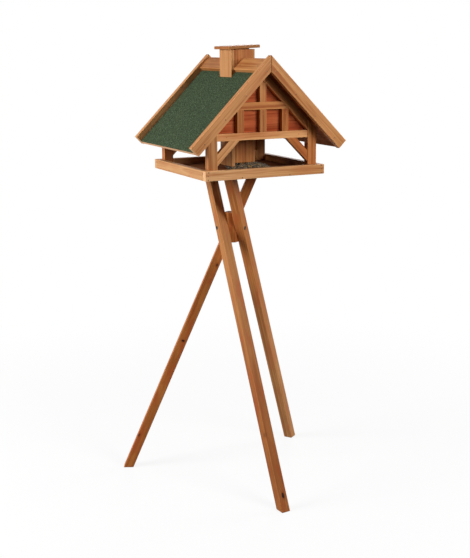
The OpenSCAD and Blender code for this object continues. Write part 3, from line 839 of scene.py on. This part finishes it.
def packed_seed_finish():
    """Seeds packed closely, seen between those that lie on top, with painted shade in the gaps between them.
    """
    finish = Finish("packed seed", Roughness=0.8)
    away, draw = finish.grains(finish.place, 240.0)
    base = finish.mix(finish.ramp(draw[0], 0.55, 0.6), colour(96, 82, 62), colour(214, 190, 150))
    # Painted shade: dark gaps between the packed seeds
    finish.give("Base Color", finish.mix(finish.ramp(away, 0.35, 0.65), base, colour(24, 20, 15)))
    finish.relief(finish.ramp(away, 0.7, 0.0), 0.8, 1.5 * MM)
    return finish.material


def seed_model(name, length, width, thickness, tip):
    """One seed lying along X: an egg drawn to a tip, or a plain grain where the tip is 1."""
    take()
    bpy.ops.mesh.primitive_uv_sphere_add(segments=8, ring_count=6, radius=1.0,
                                         rotation=(0.0, math.pi / 2, 0.0))
    piece = new_piece(name)
    for vertex in piece.data.vertices:
        along, across, up = vertex.co
        taper = 1.0 - (1.0 - tip) * (along + 1.0) / 2.0
        vertex.co = Vector((along * length / 2, across * width / 2 * taper, up * thickness / 2 * taper))
    take(piece)
    bpy.ops.object.shade_smooth()
    piece.data.attributes.new("tone", "FLOAT", "FACE")
    return piece


def seed_spots(chance, length):
    """Endless places for seeds of one length: a point on the heap or in the chimney, and the normal there."""
    low, high = (Vector(corner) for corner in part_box("seed_heap"))
    boards = [[Vector(corner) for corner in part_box(f"hopper_board_{side}")]
              for side in ("left", "right", "front", "back")]
    left, right, front, back = boards[0][1].x, boards[1][0].x, boards[2][1].y, boards[3][0].y
    spread = (high.x - low.x) / 2
    centre = Vector(((low.x + high.x) / 2, low.y + spread, low.z))
    ball = (spread ** 2 + heap_top ** 2) / (2 * heap_top)
    half = length / 2
    up = Vector((0, 0, 1))
    while True:
        in_chimney = chance.random() < chimney_share
        away = math.sqrt(chance.random()) * spread
        away *= heap_reach if chance.random() < heap_share else spill_reach
        turn = chance.uniform(0, 2 * math.pi)
        if in_chimney:
            spot = Vector((chance.uniform(left, right), chance.uniform(front, back), high.z))
            fits = left + half < spot.x < right - half and front + half < spot.y < back - half
            normal = up
        else:
            drop = ball - math.sqrt(max(0.0, ball ** 2 - min(away, spread) ** 2))
            level = low.z + max(0.0, heap_top - drop)
            spot = Vector((centre.x + away * math.cos(turn), centre.y + away * math.sin(turn), level))
            fits = not any(start.x - half < spot.x < end.x + half and start.y - half < spot.y < end.y + half
                           and spot.z + half > start.z for start, end in boards)
            outwards = Vector((spot.x - centre.x, spot.y - centre.y, ball - drop))
            normal = outwards.normalized() if away < spread else up
        if fits:
            yield spot, normal


def seed_heap():
    """The heap that runs out of the chimney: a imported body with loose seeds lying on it."""
    chance = random.Random("bird seed")
    body = clean_copy("seed_heap", "seed.body")
    smooth(body, 30)
    body.data.materials.append(packed_seed_finish())
    pieces = [body]
    for name, count, size, tip, light, dark, stripes in seed_kinds:
        length, width, thickness = (s * MM for s in size)
        model = seed_model(name, length, width, thickness, tip)
        model.data.materials.append(seed_finish(name, light, dark, stripes))
        for _, (spot, normal) in zip(range(count), seed_spots(chance, length)):
            pitch = Matrix.Rotation(chance.gauss(0, seed_pitch), 4, "Y")
            roll = Matrix.Rotation(chance.gauss(0, seed_roll), 4, "X")
            yaw = Matrix.Rotation(chance.uniform(0, 2 * math.pi), 4, "Z")
            scale = Matrix.Scale(chance.uniform(*seed_scales), 4)
            place = aim(spot + normal * thickness * seed_lift, normal)
            seed = copy_of(model, place @ yaw @ pitch @ roll @ scale)
            shade = chance.random()
            for face in seed.data.attributes["tone"].data:
                face.value = shade
            pieces.append(seed)
        bpy.data.objects.remove(model)
    set_in(join(pieces, "seed_heap.seeds"), "seed_heap")


# ---- Stage, camera and light ----------------------------------------------

def make_camera():
    """The view: from the left front, a little above the tray, turned a trifle round its own axis."""
    azimuth, elevation, roll = (math.radians(a) for a in (25.926, 12.815, -0.446))
    data = bpy.data.cameras.new("camera")
    data.lens = 66.9
    data.sensor_width = 36.0
    data.clip_end = 60.0
    camera = bpy.data.objects.new("camera", data)
    scene.collection.objects.link(camera)
    camera.location = (-1.4083, -2.8329, 1.3836)
    turn = Matrix.Rotation(-azimuth, 3, "Z") @ Matrix.Rotation(math.pi / 2 - elevation, 3, "X")
    camera.rotation_euler = (turn @ Matrix.Rotation(roll, 3, "Z")).to_euler()
    scene.camera = camera


def softbox(name, place, power, side=1.3, aim_height=0.9):
    """Square lamp that shines at a point over the middle of the stand."""
    data = bpy.data.lights.new(name, "AREA")
    data.shape = "RECTANGLE"
    data.size = data.size_y = side
    data.energy = power
    light = bpy.data.objects.new(name, data)
    scene.collection.objects.link(light)
    light.location = place
    direction = Vector((0.0, 0.0, aim_height)) - Vector(place)
    light.rotation_euler = direction.to_track_quat("-Z", "Y").to_euler()


def make_light():
    """Five lamps round the feeder: the strongest at its left side and in front of it."""
    softbox("side softbox", (-2.7, 0.35, 1.95), 82)
    softbox("front softbox", (0.95, -2.6, 1.98), 72)
    softbox("low softbox", (-2.3, 0.7, 0.4), 20, side=1.0, aim_height=0.5)
    softbox("back softbox", (2.0, 2.9, 2.4), 34)
    softbox("right softbox", (2.9, 0.2, 1.9), 30)


def seen_directly(graph):
    """1 for the camera's rays and for mirrored and refracted ones, 0 for the light that falls on things."""
    path = graph.add("ShaderNodeLightPath").outputs
    return graph.math("MAXIMUM", path["Is Camera Ray"],
                      graph.math("MAXIMUM", path["Is Glossy Ray"], path["Is Transmission Ray"]))


def make_world():
    """White to look at, and a dim grey for the light that it gives."""
    scene.world = bpy.data.worlds.new("studio")
    scene.world.use_nodes = True
    graph = Graph(scene.world.node_tree)
    graph.tree.nodes.clear()
    shade = graph.mix(seen_directly(graph), grey(0.07), grey(1.0))
    background = graph.add("ShaderNodeBackground", {"Color": shade, "Strength": 1.0})
    graph.add("ShaderNodeOutputWorld", {0: background.outputs[0]})


def make_floor():
    """Pale floor that keeps a soft shadow near the feet and fades into the white background."""
    take()
    bpy.ops.mesh.primitive_plane_add(size=40.0)
    floor = new_piece("studio_floor")
    finish = Finish("pale floor", Roughness=0.9, Specular_IOR_Level=0.0)
    seen = seen_directly(finish)
    finish.give("Base Color", finish.mix(seen, grey(0.14), grey(0.8)))
    away = finish.vector("LENGTH", finish.place)
    white = finish.math("MULTIPLY", seen, finish.ramp(away, 0.5, 2.2, 0.86, 1.0))
    glow = finish.add("ShaderNodeEmission", {"Color": grey(1.0), "Strength": 1.0})
    both = finish.add("ShaderNodeMixShader", {0: white, 1: finish.shader.outputs[0], 2: glow.outputs[0]})
    finish.set(finish.tree.nodes["Material Output"].inputs["Surface"], both.outputs[0])
    floor.data.materials.append(finish.material)


make_camera()
make_light()
make_world()
make_floor()
scene.view_settings.view_transform = "Standard"

# ---- The pieces -----------------------------------------------------------

for side in ("front", "back", "left", "right"):
    timber(f"tray_board_{side}", pine)
for corner in ("front_left", "front_right", "back_left", "back_right"):
    timber(f"post_{corner}", pine)
for side in ("left", "right", "front", "back"):
    timber(f"hopper_board_{side}", pine)
timber("lid_board", pine)
for end in ("front", "back"):
    for part in ("tie_beam", "collar_beam"):
        timber(f"{part}_{end}", pine, beam_arris)
    for place in ("top", "middle", "left", "right"):
        timber(f"stud_{end}_{place}", pine, stick_arris)
    for side in ("left", "right"):
        timber(f"trim_{end}_{side}", pine, stick_arris)
        timber(f"brace_{end}_{side}", pine, stick_arris)
        timber(f"bargeboard_{end}_{side}", pine)
        timber(f"ridge_board_{end}_{side}", pine)
    timber(f"gable_panel_{end}", red_ply, panel_arris)
for node in ("tray_floor", "lid_plug"):
    timber(node, panel_pine, panel_arris)
legs = [timber(f"leg_{foot}", leg_pine, leg_arris) for foot in ("front", "back_right", "back_left")]
timber("leg_block", leg_pine)
counterbore("leg_screws", legs)
for side in ("left", "right"):
    glaze_roof_panel(side)
    roof_felt(side)
drive(socket_screw, "leg_screws", browned_steel)
drive(cross_screw, "leg_top_screws", zinc)
for node in ("tray_nails", "roof_nails"):
    drive(nail, node, nail_steel)
for node in ("gable_pins", "lid_pins"):
    drive(nail, node, pin_glaze)
seed_heap()
